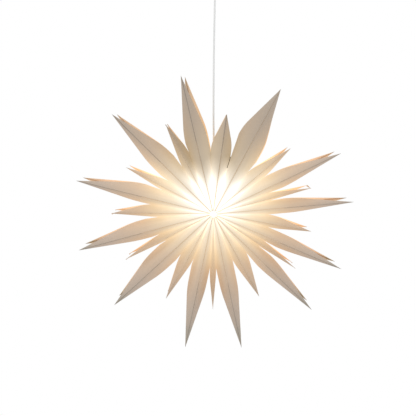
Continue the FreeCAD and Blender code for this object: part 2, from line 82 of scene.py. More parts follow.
def mixColours(tree, factor, first, second, blend="MIX"):
    node = tree.nodes.new("ShaderNodeMix")
    node.data_type = "RGBA"
    node.blend_type = blend
    for slot, value in ((0, factor), (6, first), (7, second)):
        if isinstance(value, bpy.types.NodeSocket):
            tree.links.new(value, node.inputs[slot])
        elif slot == 0:
            node.inputs[slot].default_value = value
        else:
            node.inputs[slot].default_value = (*value, 1)
    return node.outputs[2]


def rampNode(tree, factor, stops):
    node = tree.nodes.new("ShaderNodeValToRGB")
    ramp = node.color_ramp
    while len(ramp.elements) < len(stops):
        ramp.elements.new(0.5)
    for element, (place, colour) in zip(ramp.elements, stops):
        element.position = place
        element.color = (*colour, 1)
    tree.links.new(factor, node.inputs[0])
    return node.outputs[0]


def newMaterial(name):
    material = bpy.data.materials.new(name)
    material.use_nodes = True
    tree = material.node_tree
    return material, tree, tree.nodes["Principled BSDF"]


def noiseNode(tree, vector, scale, detail=2.0, roughness=0.5):
    node = tree.nodes.new("ShaderNodeTexNoise")
    node.inputs["Scale"].default_value = scale
    node.inputs["Detail"].default_value = detail
    node.inputs["Roughness"].default_value = roughness
    tree.links.new(vector, node.inputs["Vector"])
    return node.outputs[0]


def scaled(tree, vector, factors):
    node = tree.nodes.new("ShaderNodeMapping")
    node.inputs["Scale"].default_value = factors
    tree.links.new(vector, node.inputs["Vector"])
    return node.outputs[0]


def bumpNode(tree, height, strength, distance):
    node = tree.nodes.new("ShaderNodeBump")
    node.inputs["Strength"].default_value = strength
    node.inputs["Distance"].default_value = distance
    tree.links.new(height, node.inputs["Height"])
    return node.outputs[0]


# cord: the route's points, with the smooth sheath that follows them
cordSet = {"radius": 0.002, "points": ((0, 0, -0.054), (-0.0055, 0, -0.246), (-0.0028, 0, -0.434))}
cordCurve = bpy.data.curves.new("cordLine", "CURVE")
cordCurve.dimensions = "3D"
cordCurve.bevel_depth = 1
cordCurve.bevel_resolution = 5
cordCurve.use_fill_caps = True
cordSpline = cordCurve.splines.new("NURBS")
cordSpline.points.add(len(cordSet["points"]) - 1)
for point, place in zip(cordSpline.points, cordSet["points"]):
    point.co = (*place, 1)
    point.radius = cordSet["radius"]
cordSpline.order_u = 3
cordSpline.use_endpoint_u = True
cordSpline.resolution_u = 40
cordPiece = newObject("pendantCord", cordCurve)
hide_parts("cord")
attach(cordPiece, "hanging_cord")
print("cord made")

# glow: how much lamp light comes through the paper at each distance from the bulb
glowStops = [
    (0.00, (1.0, 1.0, 1.0)), (0.17, (0.92, 0.90, 0.84)), (0.24, (0.66, 0.61, 0.53)),
    (0.32, (0.58, 0.49, 0.36)), (0.38, (0.55, 0.44, 0.30)), (0.44, (0.48, 0.365, 0.23)),
    (0.56, (0.345, 0.235, 0.145)), (0.69, (0.255, 0.165, 0.10)), (0.83, (0.18, 0.12, 0.085)),
    (0.95, (0.12, 0.08, 0.055)), (1.00, (0.04, 0.032, 0.018)),
]
glowSet = {
    "reach": 0.3,
    "shadeClimb": 0.42, "shadeGain": 2.6, "shadeStart": 0.042, "shadeRun": 0.05,
    "shadeTint": (1.0, 0.90, 0.72), "shadeDrop": 0.60,
    "lowSlope": 1.6, "lowOffset": 0.9, "lowStart": 0.17, "lowRun": 0.08, "lowDrop": 0.3,
}


def lampGlow(tree):
    # painted glow: colour by distance from the bulb, and a level of painted shade that falls above it, where
    # the holder blocks the bulb, and far below it
    coords = tree.nodes.new("ShaderNodeTexCoord").outputs["Object"]
    offset = tree.nodes.new("ShaderNodeVectorMath")
    offset.operation = "SUBTRACT"
    offset.inputs[1].default_value = lampCentre
    tree.links.new(coords, offset.inputs[0])
    length = tree.nodes.new("ShaderNodeVectorMath")
    length.operation = "LENGTH"
    tree.links.new(offset.outputs[0], length.inputs[0])
    parts = tree.nodes.new("ShaderNodeSeparateXYZ")
    tree.links.new(offset.outputs[0], parts.inputs[0])
    distance = length.outputs["Value"]
    climb = mathNode(tree, "DIVIDE", parts.outputs["Z"], distance)
    shade = mathNode(tree, "SUBTRACT", climb, glowSet["shadeClimb"])
    shade = mathNode(tree, "MULTIPLY", shade, glowSet["shadeGain"], clamp=True)
    away = mathNode(tree, "MULTIPLY_ADD", distance, 1 / glowSet["shadeRun"],
                    -glowSet["shadeStart"] / glowSet["shadeRun"], clamp=True)
    shade = mathNode(tree, "MULTIPLY", shade, away)
    colour = rampNode(tree, mathNode(tree, "DIVIDE", distance, glowSet["reach"]), glowStops)
    colour = mixColours(tree, shade, colour, glowSet["shadeTint"], "MULTIPLY")
    shade = mathNode(tree, "MULTIPLY_ADD", shade, -glowSet["shadeDrop"], 1.0)
    below = mathNode(tree, "MULTIPLY_ADD", climb, -glowSet["lowSlope"], -glowSet["lowOffset"],
                     clamp=True)
    far = mathNode(tree, "MULTIPLY_ADD", distance, 1 / glowSet["lowRun"],
                   -glowSet["lowStart"] / glowSet["lowRun"], clamp=True)
    below = mathNode(tree, "MULTIPLY", below, far)
    low = mathNode(tree, "MULTIPLY_ADD", below, -glowSet["lowDrop"], 1.0)
    shade = mathNode(tree, "MULTIPLY", shade, low)
    return colour, shade


paperLook = {
    "fibreScale": (14, 420, 1), "cloudScale": (22, 60, 1), "speckScale": (900, 1500, 1),
    "creaseShadeWidth": 0.0013, "creaseShadeLevel": 1.7, "creaseShadeBandWidth": 0.006, "creaseShadeBandDrop": 0.12,
    "seamLift": 0.42, "creaseFloor": 0.80, "roughness": 0.9, "specular": 0.25, "emission": 1.6,
    "bump": 0.25, "bumpDepth": 0.0003,
}


def paperMaterial(name, base, gain, creaseShadeTint, warmth=(1, 1, 1)):
    material, tree, shader = newMaterial(name)
    sheet = tree.nodes.new("ShaderNodeUVMap")
    sheet.uv_map = "sheet"
    place = tree.nodes.new("ShaderNodeSeparateXYZ")
    tree.links.new(sheet.outputs[0], place.inputs[0])
    lift = tree.nodes.new("ShaderNodeAttribute")
    lift.attribute_name = "lift"
    fibre = noiseNode(tree, scaled(tree, sheet.outputs[0], paperLook["fibreScale"]), 1.0, 4.0, 0.6)
    cloud = noiseNode(tree, scaled(tree, sheet.outputs[0], paperLook["cloudScale"]), 1.0, 3.0, 0.55)
    speck = noiseNode(tree, scaled(tree, sheet.outputs[0], paperLook["speckScale"]), 1.0, 2.0, 0.6)
    grain = mathNode(tree, "MULTIPLY_ADD", fibre, 0.26, 0.87)
    grain = mathNode(tree, "MULTIPLY", grain, mathNode(tree, "MULTIPLY_ADD", cloud, 0.18, 0.91))
    # painted shade along the creases: a thin dark line at each fold and a wider dimmer band around it
    across = mathNode(tree, "ABSOLUTE", place.outputs["Y"], 0.0)
    line = mathNode(tree, "MULTIPLY_ADD", across, -1 / paperLook["creaseShadeWidth"],
                    paperLook["creaseShadeLevel"], clamp=True)
    creaseShadeBand = mathNode(tree, "MULTIPLY_ADD", across, -1 / paperLook["creaseShadeBandWidth"], 1.0, clamp=True)
    colour, shade = lampGlow(tree)
    # painted light: the glow rises from each crease to its seam and is strongest on the glued webs
    edge = mathNode(tree, "MULTIPLY_ADD", lift.outputs["Fac"], paperLook["seamLift"],
                    paperLook["creaseFloor"])
    level = mathNode(tree, "MULTIPLY", mathNode(tree, "MULTIPLY", shade, edge), grain)
    # painted shade: the glow is dimmed in the band around each crease
    dimmed = mathNode(tree, "MULTIPLY_ADD", creaseShadeBand, -paperLook["creaseShadeBandDrop"], 1.0)
    level = mathNode(tree, "MULTIPLY", level, dimmed)
    level = mathNode(tree, "MULTIPLY", level, gain)
    glow = mixColours(tree, 1.0, colour, warmth, "MULTIPLY")
    scale = tree.nodes.new("ShaderNodeVectorMath")
    scale.operation = "SCALE"
    tree.links.new(glow, scale.inputs[0])
    tree.links.new(level, scale.inputs["Scale"])
    # painted shade: the glow takes the darker crease tint along each crease
    creaseShadedGlow = mixColours(tree, line, scale.outputs[0], creaseShadeTint, "MULTIPLY")
    # painted shade: the base colour falls to half along each crease
    surface = mixColours(tree, mathNode(tree, "MULTIPLY", line, 0.7), base,
                         tuple(part * 0.5 for part in base))
    surface = mixColours(tree, mathNode(tree, "MULTIPLY_ADD", grain, -1.0, 1.0, clamp=True),
                         surface, tuple(part * 0.8 for part in base))
    tree.links.new(surface, shader.inputs["Base Color"])
    shader.inputs["Roughness"].default_value = paperLook["roughness"]
    shader.inputs["Specular IOR Level"].default_value = paperLook["specular"]
    tree.links.new(creaseShadedGlow, shader.inputs["Emission Color"])
    shader.inputs["Emission Strength"].default_value = paperLook["emission"]
    height = mathNode(tree, "MULTIPLY_ADD", fibre, 0.7, mathNode(tree, "MULTIPLY", speck, 0.3))
    grainBump = bumpNode(tree, height, paperLook["bump"], paperLook["bumpDepth"])
    tree.links.new(grainBump, shader.inputs["Normal"])
    return material


# painted shade and light: three copies of one off-white paper, the outside darkened to a shaded tan, the
# inside faces and cut edges lighter and warmer with more glow, as lit by the bulb
paperOutside = paperMaterial("paperOutside", (0.395, 0.352, 0.30), 0.62, (0.52, 0.43, 0.32))
paperInside = paperMaterial("paperInside", (0.62, 0.52, 0.40), 0.95, (0.8, 0.7, 0.6),
                            warmth=(1.0, 0.95, 0.88))
paperEdge = paperMaterial("paperEdge", (0.66, 0.53, 0.38), 1.0, (0.8, 0.7, 0.6),
                          warmth=(1.0, 0.88, 0.70))

# folded points: crease turn, turn of the seam after it, reach of the tip and how far
# the folded sides stay joined before and after the crease, in degrees and millimetres
paperSet = {
    "thickness": 0.00035, "hole": 0.007, "strip": 0.004, "room": 0.062, "mouth": 0.020,
    "hook": 0.003, "wideFlat": 0.135,
    "rearTurn": {1: 1.1, 3: 0.8},
    "long": {"hubDepth": 0.056, "tipDepth": 0.051, "flat": 0.160, "bend": 0.018},
    "short": {"hubDepth": 0.045, "tipDepth": 0.041, "flat": 0.112, "bend": 0.015},
    "stations": 44, "columns": 7, "notchRows": 4, "webColumns": 5, "tipEase": 0.92,
    "stripFade": 0.007, "rearStart": 0.08, "rearRun": 0.14,
    "bow": 0.0016, "wave": 0.0009, "waveScale": 11, "waveWidth": 0.02, "holdShare": 0.6,
    "sheetShift": 0.37, "webShift": 0.05, "merge": 0.00002,
}
folds = [
    (-13.1, -2.8, 301, 160, 140), (7.8, 18.1, 214, 130, 118),
    (28.3, 40.8, 301, 180, 143), (49.8, 56.0, 216, 112, 132),
    (64.5, 70.9, 301, 142, 160), (75.4, 79.4, 218, 118, 112),
    (85.1, 93.2, 302, 160, 120), (100.5, 105.8, 215, 125, 130),
    (113.4, 119.6, 301, 124, 160), (123.9, 127.6, 215, 118, 112),
    (134.4, 140.9, 299, 160, 155), (151.2, 158.5, 207, 112, 114),
    (168.1, 177.0, 299, 118, 128), (180.2, 183.2, 210, 125, 135),
    (191.8, 202.1, 298, 125, 126), (208.9, 217.3, 213, 112, 115),
    (227.2, 238.0, 292, 136, 140), (242.2, 247.3, 214, 112, 122),
    (254.8, 263.8, 300, 146, 150), (270.0, 276.8, 219, 112, 135),
    (283.7, 292.2, 301, 146, 160), (298.0, 304.8, 212, 108, 114),
    (314.7, 325.0, 302, 140, 150), (332.0, 337.9, 216, 114, 138),
]


def smoothStep(value):
    value = min(max(value, 0.0), 1.0)
    return value * value * (3 - 2 * value)


class PaperSide:
    # One side of a folded point, from its crease to the seam with its neighbour.
    def __init__(self, kind, side, swing, reach, joined, flat, gap):
        self.set = paperSet[kind]
        self.side = side
        self.lean = math.radians(swing)
        self.reach = reach
        self.gap = gap
        hole = paperSet["hole"]
        self.slope = (self.set["tipDepth"] - self.set["hubDepth"]) / (reach - hole)
        self.notch = joined * math.cos(self.lean)
        across = joined * math.sin(self.lean)
        self.spread = across / (self.crease(self.notch) - gap)
        self.level = max(self.notch + 0.0005, flat)
        run = reach - self.level - self.set["bend"]
        self.taper = math.atan2(self.set["tipDepth"] - gap, run)
        self.radius = self.set["bend"] / math.tan(self.taper / 2)

    def crease(self, along):
        return self.set["hubDepth"] + self.slope * (along - paperSet["hole"])

    def edgeDepth(self, along):
        if along <= self.notch:
            return self.crease(along) - along * math.tan(self.lean) / self.spread
        arcEnd = self.level + self.radius * math.sin(self.taper)
        if along <= self.level:
            return self.gap
        if along < arcEnd:
            lean = math.asin((along - self.level) / self.radius)
            return self.gap + self.radius * (1 - math.cos(lean))
        start = self.gap + self.radius * (1 - math.cos(self.taper))
        return start + (along - arcEnd) * math.tan(self.taper)

    def onFacet(self, along, share):
        top = self.crease(along)
        depth = top + (min(self.edgeDepth(along), top) - top) * share
        across = self.spread * (top - depth)
        return Vector((along, self.side * across, depth))

    def stations(self):
        # Distances from the hub's middle of the rows up to the notch, and of those past it.
        hole = paperSet["hole"]
        half = paperSet["stations"] // 2
        rows = paperSet["notchRows"]
        inner = [hole + (self.notch - hole) * i / half for i in range(half + 1)]
        outer = [self.notch + (self.level - self.notch) * i / rows for i in range(1, rows + 1)]
        outer += [self.level + (self.reach - self.level) * (i / half) ** paperSet["tipEase"]
                  for i in range(1, half + 1)]
        return inner, outer

    def innerDepth(self, along):
        strip = self.edgeDepth(along) - paperSet["strip"]
        if self.gap > paperSet["strip"]:
            return strip
        distance = along / math.cos(self.lean)
        return strip * (1 - smoothStep((distance - paperSet["room"]) / paperSet["stripFade"]))


class PointLay:
    # Where one point lies: its directions out and across, its rear lean and its own grain.
    def __init__(self, number, turn):
        angle = math.radians(turn)
        self.radial = Vector((math.sin(angle), 0, math.cos(angle)))
        self.around = Vector((math.cos(angle), 0, -math.sin(angle)))
        self.rearLean = math.radians(paperSet["rearTurn"].get(number, 0.0))
        self.seed = Vector((number * 7.3, number * 3.1, 0))
        self.shift = number * paperSet["sheetShift"]

    def place(self, local, face):
        rear = Vector((0, 1, 0)) * (local.z * face)
        return hub + self.radial * local.x + self.around * local.y + rear


def addGrid(shape, grid, outward):
    # one sheet of faces that look outward, with their lift and their place on the sheet
    points, lifts, uvs = grid
    uvLayer = shape.loops.layers.uv["sheet"]
    liftLayer = shape.verts.layers.float["lift"]
    rows = []
    for row, liftRow in zip(points, lifts):
        line = []
        for place, lift in zip(row, liftRow):
            vert = shape.verts.new(place)
            vert[liftLayer] = lift
            line.append(vert)
        rows.append(line)
    for i in range(len(rows) - 1):
        for j in range(len(rows[0]) - 1):
            corners = [(i, j), (i, j + 1), (i + 1, j + 1), (i + 1, j)]
            verts = [rows[a][b] for a, b in corners]
            edgeOne = verts[2].co - verts[0].co
            edgeTwo = verts[3].co - verts[1].co
            if edgeOne.cross(edgeTwo).dot(outward) < 0:
                corners.reverse()
                verts.reverse()
            face = shape.faces.new(verts)
            for loop, (a, b) in zip(face.loops, corners):
                loop[uvLayer].uv = uvs[a][b]


def facetGrid(part, lay, face, outward):
    # from the crease to the seam or free edge, bowed and waved where nothing holds the paper
    inner, outer = part.stations()
    held = part.notch * paperSet["holdShare"]
    points, lifts, uvs = [], [], []
    for along in inner + outer:
        row, liftRow, uvRow = [], [], []
        width = (part.onFacet(along, 1) - part.onFacet(along, 0)).length
        free = smoothStep((along - held) / (part.reach - held))
        for j in range(paperSet["columns"]):
            share = j / (paperSet["columns"] - 1)
            local = part.onFacet(along, share)
            if face == 1:
                turned = smoothStep((along - paperSet["rearStart"]) / paperSet["rearRun"])
                local.y += along * math.tan(lay.rearLean) * turned
            place = lay.place(local, face)
            hold = 4 * share * (1 - share)
            wave = noise.noise(place * paperSet["waveScale"] + lay.seed) * paperSet["wave"]
            bow = -paperSet["bow"] * math.sin(math.pi * smoothStep(free)) * hold
            wave = wave * hold * min(1, width / paperSet["waveWidth"])
            row.append(place + outward * (bow + wave))
            liftRow.append(share)
            uvRow.append((along + lay.shift, width * share * part.side))
        points.append(row)
        lifts.append(liftRow)
        uvs.append(uvRow)
    return points, lifts, uvs


def webGrid(part, lay, face):
    # the glued strip in the plane of the seam, and the wall beyond the lamp's room
    columns = paperSet["webColumns"]
    points, lifts, uvs = [], [], []
    for along in part.stations()[0]:
        top, low = part.edgeDepth(along), part.innerDepth(along)
        row, uvRow = [], []
        for j in range(columns):
            depth = top + (low - top) * j / (columns - 1)
            local = Vector((along, part.side * along * math.tan(part.lean), depth))
            row.append(lay.place(local, face))
            uvRow.append((along + lay.shift, paperSet["webShift"] + depth))
        points.append(row)
        lifts.append([1.0] * columns)
        uvs.append(uvRow)
    return points, lifts, uvs


def foldedPoint(number, kind, turn, before, after, reach, joinedBefore, joinedAfter):
    label = "%s_point_%02d" % (kind, (number + 1) // 2)
    lay = PointLay(number, turn)
    mesh = bpy.data.meshes.new(label + "Folded")
    shape = bmesh.new()
    shape.loops.layers.uv.new("sheet")
    shape.verts.layers.float.new("lift")
    mouth = {1: (0.0, paperSet["mouth"]), 2: (paperSet["mouth"], paperSet["hook"])}
    gapBefore, gapAfter = mouth.get(number, (0.0, 0.0))
    flat = paperSet["wideFlat"] if number == 2 else paperSet[kind]["flat"]
    sides = ((1, after, joinedAfter, gapAfter), (-1, before, joinedBefore, gapBefore))
    for side, swing, joined, gap in sides:
        part = PaperSide(kind, side, swing, reach, joined, flat, gap)
        normal = Vector((-part.spread * part.slope, side, part.spread)).normalized()
        webOut = lay.radial * -math.sin(part.lean) + lay.around * (side * math.cos(part.lean))
        for face in (1, -1):
            outward = lay.radial * normal.x + lay.around * normal.y
            outward += Vector((0, face * normal.z, 0))
            addGrid(shape, facetGrid(part, lay, face, outward), outward)
            addGrid(shape, webGrid(part, lay, face), webOut)
    bmesh.ops.remove_doubles(shape, verts=shape.verts, dist=paperSet["merge"])
    bmesh.ops.dissolve_degenerate(shape, edges=shape.edges, dist=paperSet["merge"])
    shape.to_mesh(mesh)
    shape.free()
    for material in (paperOutside, paperInside, paperEdge):
        mesh.materials.append(material)
    piece = newObject(label + "Paper", mesh)
    solidify = piece.modifiers.new("thickness", "SOLIDIFY")
    solidify.thickness = paperSet["thickness"]
    solidify.offset = -1
    solidify.use_even_offset = True
    solidify.thickness_clamp = 2.0
    # painted light: the inner faces take the lit inside copy of the paper, the rims the lit edge copy
    solidify.material_offset = 1
    solidify.material_offset_rim = 2
    graph = bpy.context.evaluated_depsgraph_get()
    solid = bpy.data.meshes.new_from_object(piece.evaluated_get(graph))
    piece.modifiers.clear()
    piece.data = solid
    bpy.data.meshes.remove(mesh)
    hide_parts(label)
    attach(piece, "star")


for number, (turn, seam, reach, joinedBefore, joinedAfter) in enumerate(folds, start=1):
    earlier = folds[number - 2][1] - (360 if number == 1 else 0)
    kind = "long" if number % 2 == 1 else "short"
    foldedPoint(number, kind, turn, turn - earlier, seam - turn, reach / 1000,
                joinedBefore / 1000, joinedAfter / 1000)
print("folded points made")

# wear: soft mottling of colour, sheen and surface that most finishes share
wearGroup = bpy.data.node_groups.new("surfaceWear", "ShaderNodeTree")
for socketName, kind, start in (("Colour", "NodeSocketColor", None), ("Scale", "NodeSocketFloat", 40.0),
                                ("Amount", "NodeSocketFloat", 0.1), ("Roughness", "NodeSocketFloat", 0.4)):
    socket = wearGroup.interface.new_socket(socketName, in_out="INPUT", socket_type=kind)
    if start is not None:
        socket.default_value = start
for socketName, kind in (("Colour", "NodeSocketColor"), ("Roughness", "NodeSocketFloat"),
                         ("Height", "NodeSocketFloat")):
    wearGroup.interface.new_socket(socketName, in_out="OUTPUT", socket_type=kind)
wearIn = wearGroup.nodes.new("NodeGroupInput")
wearOut = wearGroup.nodes.new("NodeGroupOutput")
wearCoords = wearGroup.nodes.new("ShaderNodeTexCoord").outputs["Object"]
wearCloud = noiseNode(wearGroup, wearCoords, 40, 4.0, 0.6)
wearGroup.links.new(wearIn.outputs["Scale"], wearCloud.node.inputs["Scale"])
wearFine = noiseNode(wearGroup, wearCoords, 400, 3.0, 0.6)
fineScale = mathNode(wearGroup, "MULTIPLY", wearIn.outputs["Scale"], 9.0)
wearGroup.links.new(fineScale, wearFine.node.inputs["Scale"])
wearDark = mathNode(wearGroup, "MULTIPLY", wearCloud, wearIn.outputs["Amount"])
wearDark = mathNode(wearGroup, "SUBTRACT", 1.0, wearDark)
wearScale = wearGroup.nodes.new("ShaderNodeVectorMath")
wearScale.operation = "SCALE"
wearGroup.links.new(wearIn.outputs["Colour"], wearScale.inputs[0])
wearGroup.links.new(wearDark, wearScale.inputs["Scale"])
wearGroup.links.new(wearScale.outputs[0], wearOut.inputs["Colour"])
wearRough = mathNode(wearGroup, "MULTIPLY_ADD", wearFine, 0.22, -0.11)
wearRough = mathNode(wearGroup, "ADD", wearRough, wearIn.outputs["Roughness"], clamp=True)
wearGroup.links.new(wearRough, wearOut.inputs["Roughness"])
wearGroup.links.new(wearFine, wearOut.inputs["Height"])


def wornMaterial(name, colour, roughness, scale, amount, bump, metallic=0.0, coat=0.0):
    material, tree, shader = newMaterial(name)
    wear = tree.nodes.new("ShaderNodeGroup")
    wear.node_tree = wearGroup
    wear.inputs["Colour"].default_value = (*colour, 1)
    wear.inputs["Scale"].default_value = scale
    wear.inputs["Amount"].default_value = amount
    wear.inputs["Roughness"].default_value = roughness
    tree.links.new(wear.outputs["Colour"], shader.inputs["Base Color"])
    tree.links.new(wear.outputs["Roughness"], shader.inputs["Roughness"])
    tree.links.new(bumpNode(tree, wear.outputs["Height"], 0.3, bump), shader.inputs["Normal"])
    shader.inputs["Metallic"].default_value = metallic
    shader.inputs["Coat Weight"].default_value = coat
    return material


def glowingMaterial(name, colour, low, high, strength, scale):
    material, tree, shader = newMaterial(name)
    coords = tree.nodes.new("ShaderNodeTexCoord").outputs["Object"]
    cloud = noiseNode(tree, coords, scale, 3.0, 0.55)
    lit = rampNode(tree, cloud, [(0.3, low), (0.7, high)])
    tree.links.new(lit, shader.inputs["Emission Color"])
    shader.inputs["Emission Strength"].default_value = strength
    shader.inputs["Base Color"].default_value = (*colour, 1)
    shader.inputs["Roughness"].default_value = 0.35
    tree.links.new(bumpNode(tree, cloud, 0.15, 0.0002), shader.inputs["Normal"])
    return material


holderWhite = wornMaterial("holderPlastic", (0.80, 0.79, 0.75), 0.34, 60, 0.08, 0.00004, coat=0.2)
gripWhite = wornMaterial("gripPlastic", (0.80, 0.80, 0.77), 0.48, 90, 0.10, 0.00006)
nylon = wornMaterial("terminalNylon", (0.74, 0.73, 0.66), 0.42, 80, 0.14, 0.00006)
cordWhite = wornMaterial("cordSheath", (0.80, 0.80, 0.79), 0.36, 120, 0.10, 0.00005, coat=0.15)
liveBrown = wornMaterial("liveInsulation", (0.16, 0.065, 0.025), 0.34, 160, 0.2, 0.00003)
neutralBlue = wornMaterial("neutralInsulation", (0.02, 0.09, 0.42), 0.34, 160, 0.2, 0.00003)
enamel = wornMaterial("cupEnamel", (0.84, 0.84, 0.82), 0.30, 45, 0.06, 0.00008, coat=0.35)
zinc = wornMaterial("zincSteel", (0.62, 0.63, 0.64), 0.36, 110, 0.28, 0.00004, metallic=1.0)
brightSteel = wornMaterial("brightSteel", (0.74, 0.74, 0.74), 0.22, 150, 0.18, 0.00002, metallic=1.0)
darkWire = wornMaterial("hangerWire", (0.055, 0.045, 0.038), 0.42, 210, 0.35, 0.00003, metallic=0.7)
brass = wornMaterial("contactBrass", (0.78, 0.55, 0.22), 0.28, 140, 0.26, 0.00003, metallic=1.0)
ceramic = wornMaterial("contactCeramic", (0.72, 0.70, 0.64), 0.62, 130, 0.16, 0.0001)
capMetal = wornMaterial("capMetal", (0.72, 0.72, 0.70), 0.26, 120, 0.20, 0.00003, metallic=1.0)
blackGlass = wornMaterial("blackGlass", (0.012, 0.012, 0.014), 0.16, 100, 0.3, 0.00003, coat=0.6)
stemGlass = wornMaterial("stemGlass", (0.86, 0.90, 0.90), 0.08, 60, 0.05, 0.00002, coat=0.4)
globeGlass = glowingMaterial("globeGlass", (0.9, 0.85, 0.75), (1.0, 0.80, 0.52),
                             (1.0, 0.90, 0.70), 3.2, 60)
strandGlow = glowingMaterial("strandGlow", (0.95, 0.8, 0.4), (1.0, 0.62, 0.22),
                             (1.0, 0.82, 0.45), 9.0, 900)
cordCurve.materials.append(cordWhite)


# turned pieces: an outline of radius and height carried round an axis
def arcOf(centre, radius, start, end, steps=6):
    points = []
    for step in range(steps + 1):
        angle = math.radians(start + (end - start) * step / steps)
        points.append((centre[0] + radius * math.cos(angle), centre[1] + radius * math.sin(angle)))
    return points


def threadRun(radius, depth, pitch, low, high, starts=10):
    count = max(2, round((high - low) / pitch * starts))
    return [(radius, low + (high - low) * i / count, depth, pitch) for i in range(count + 1)]


def turnedPiece(name, node, body, material, outline, place, turnTo=None, segments=72):
    shape = bmesh.new()
    rings = []
    for point in outline:
        ring = []
        for index in range(segments):
            angle = 2 * math.pi * index / segments
            radius = point[0]
            if len(point) > 2:
                wave = (point[1] / point[3] - index / segments) % 1.0
                radius -= point[2] * (0.5 - 0.5 * math.cos(2 * math.pi * wave))
            ring.append(shape.verts.new((radius * math.cos(angle), radius * math.sin(angle), point[1])))
        rings.append(ring)
    for ring, following in zip(rings, rings[1:] + rings[:1]):
        for index in range(segments):
            after = (index + 1) % segments
            shape.faces.new((ring[index], ring[after], following[after], following[index]))
    bmesh.ops.remove_doubles(shape, verts=shape.verts, dist=0.000004)
    bmesh.ops.dissolve_degenerate(shape, edges=shape.edges, dist=0.000004)
    bmesh.ops.recalc_face_normals(shape, faces=shape.faces)
    if turnTo is not None:
        shape.transform(turnTo)
    shape.transform(Matrix.Translation(place))
    mesh = bpy.data.meshes.new(name)
    shape.to_mesh(mesh)
    shape.free()
    for face in mesh.polygons:
        face.use_smooth = True
    mesh.set_sharp_from_angle(angle=math.radians(32))
    mesh.materials.append(material)
    piece = newObject(name, mesh)
    if node:
        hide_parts(node)
    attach(piece, body)


# ribs: short round bars set in a ring, for knurls and finger grips
ribGroup = bpy.data.node_groups.new("ribsAround", "GeometryNodeTree")
for socketName, kind in (("Count", "NodeSocketInt"), ("Ring Radius", "NodeSocketFloat"),
                         ("Rib Radius", "NodeSocketFloat"), ("Rib Length", "NodeSocketFloat"),
                         ("Material", "NodeSocketMaterial")):
    ribGroup.interface.new_socket(socketName, in_out="INPUT", socket_type=kind)
ribGroup.interface.new_socket("Geometry", in_out="OUTPUT", socket_type="NodeSocketGeometry")
ribIn = ribGroup.nodes.new("NodeGroupInput")
ribOut = ribGroup.nodes.new("NodeGroupOutput")
ribCircle = ribGroup.nodes.new("GeometryNodeMeshCircle")
ribLine = ribGroup.nodes.new("GeometryNodeCurvePrimitiveLine")
ribEnd = ribGroup.nodes.new("ShaderNodeCombineXYZ")
ribProfile = ribGroup.nodes.new("GeometryNodeCurvePrimitiveCircle")
ribTube = ribGroup.nodes.new("GeometryNodeCurveToMesh")
ribPoints = ribGroup.nodes.new("GeometryNodeInstanceOnPoints")
ribReal = ribGroup.nodes.new("GeometryNodeRealizeInstances")
ribPaint = ribGroup.nodes.new("GeometryNodeSetMaterial")
ribProfile.inputs["Resolution"].default_value = 10
ribTube.inputs["Fill Caps"].default_value = True
ribGroup.links.new(ribIn.outputs["Count"], ribCircle.inputs["Vertices"])
ribGroup.links.new(ribIn.outputs["Ring Radius"], ribCircle.inputs["Radius"])
ribGroup.links.new(ribIn.outputs["Rib Length"], ribEnd.inputs["Z"])
ribGroup.links.new(ribEnd.outputs[0], ribLine.inputs["End"])
ribGroup.links.new(ribIn.outputs["Rib Radius"], ribProfile.inputs["Radius"])
ribGroup.links.new(ribLine.outputs[0], ribTube.inputs["Curve"])
ribGroup.links.new(ribProfile.outputs[0], ribTube.inputs["Profile Curve"])
ribGroup.links.new(ribCircle.outputs[0], ribPoints.inputs["Points"])
ribGroup.links.new(ribTube.outputs[0], ribPoints.inputs["Instance"])
ribGroup.links.new(ribPoints.outputs[0], ribReal.inputs[0])
ribGroup.links.new(ribReal.outputs[0], ribPaint.inputs[0])
ribGroup.links.new(ribIn.outputs["Material"], ribPaint.inputs["Material"])
ribGroup.links.new(ribPaint.outputs[0], ribOut.inputs[0])


def ribRing(name, body, material, ribs, place, turnTo=None):
    mesh = bpy.data.meshes.new(name + "Base")
    piece = newObject(name, mesh)
    modifier = piece.modifiers.new("ribs", "NODES")
    modifier.node_group = ribGroup
    given = {"Count": ribs["count"], "Ring Radius": ribs["radius"], "Rib Radius": ribs["rib"],
             "Rib Length": ribs["length"], "Material": material}
    for item in ribGroup.interface.items_tree:
        if item.in_out == "INPUT":
            modifier[item.identifier] = given[item.name]
    graph = bpy.context.evaluated_depsgraph_get()
    made = bpy.data.meshes.new_from_object(piece.evaluated_get(graph))
    piece.modifiers.clear()
    piece.data = made
    bpy.data.meshes.remove(mesh)
    if turnTo is not None:
        made.transform(turnTo)
    made.transform(Matrix.Translation(place))
    for face in made.polygons:
        face.use_smooth = True
    made.set_sharp_from_angle(angle=math.radians(40))
    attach(piece, body)


def baseOf(node):
    low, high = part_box(node)
    return Vector(((low[0] + high[0]) / 2, (low[1] + high[1]) / 2, low[2]))


# holder: threaded shell with a stop flange, its shade ring, cap and cord gland
shellSet = {"bore": 0.0074, "neck": 0.013, "stop": 0.015, "body": 0.0135, "height": 0.032,
            "stopLow": 0.011, "stopHigh": 0.014, "chamber": 0.011, "floor": 0.024}
shellOutline = [(shellSet["bore"] + 0.0005, 0), (shellSet["neck"] - 0.0004, 0)]
shellOutline += threadRun(shellSet["neck"], 0.0005, 0.0022, 0.0006, shellSet["stopLow"] - 0.0004)
shellOutline += [(shellSet["neck"], shellSet["stopLow"])]
shellOutline += arcOf((shellSet["stop"] - 0.0006, shellSet["stopLow"] + 0.0006), 0.0006, -90, 0, 4)
shellOutline += arcOf((shellSet["stop"] - 0.0006, shellSet["stopHigh"] - 0.0006), 0.0006, 0, 90, 4)
shellOutline += [(shellSet["body"], shellSet["stopHigh"]), (shellSet["body"], shellSet["height"] - 0.0004),
                 (shellSet["body"] - 0.0004, shellSet["height"]), (shellSet["chamber"], shellSet["height"]),
                 (shellSet["chamber"], shellSet["floor"]), (shellSet["bore"], shellSet["floor"]),
                 (shellSet["bore"], 0.0005)]
turnedPiece("holderShell", "holder_shell", "lamp_holder", holderWhite,
            shellOutline, baseOf("holder_shell"))

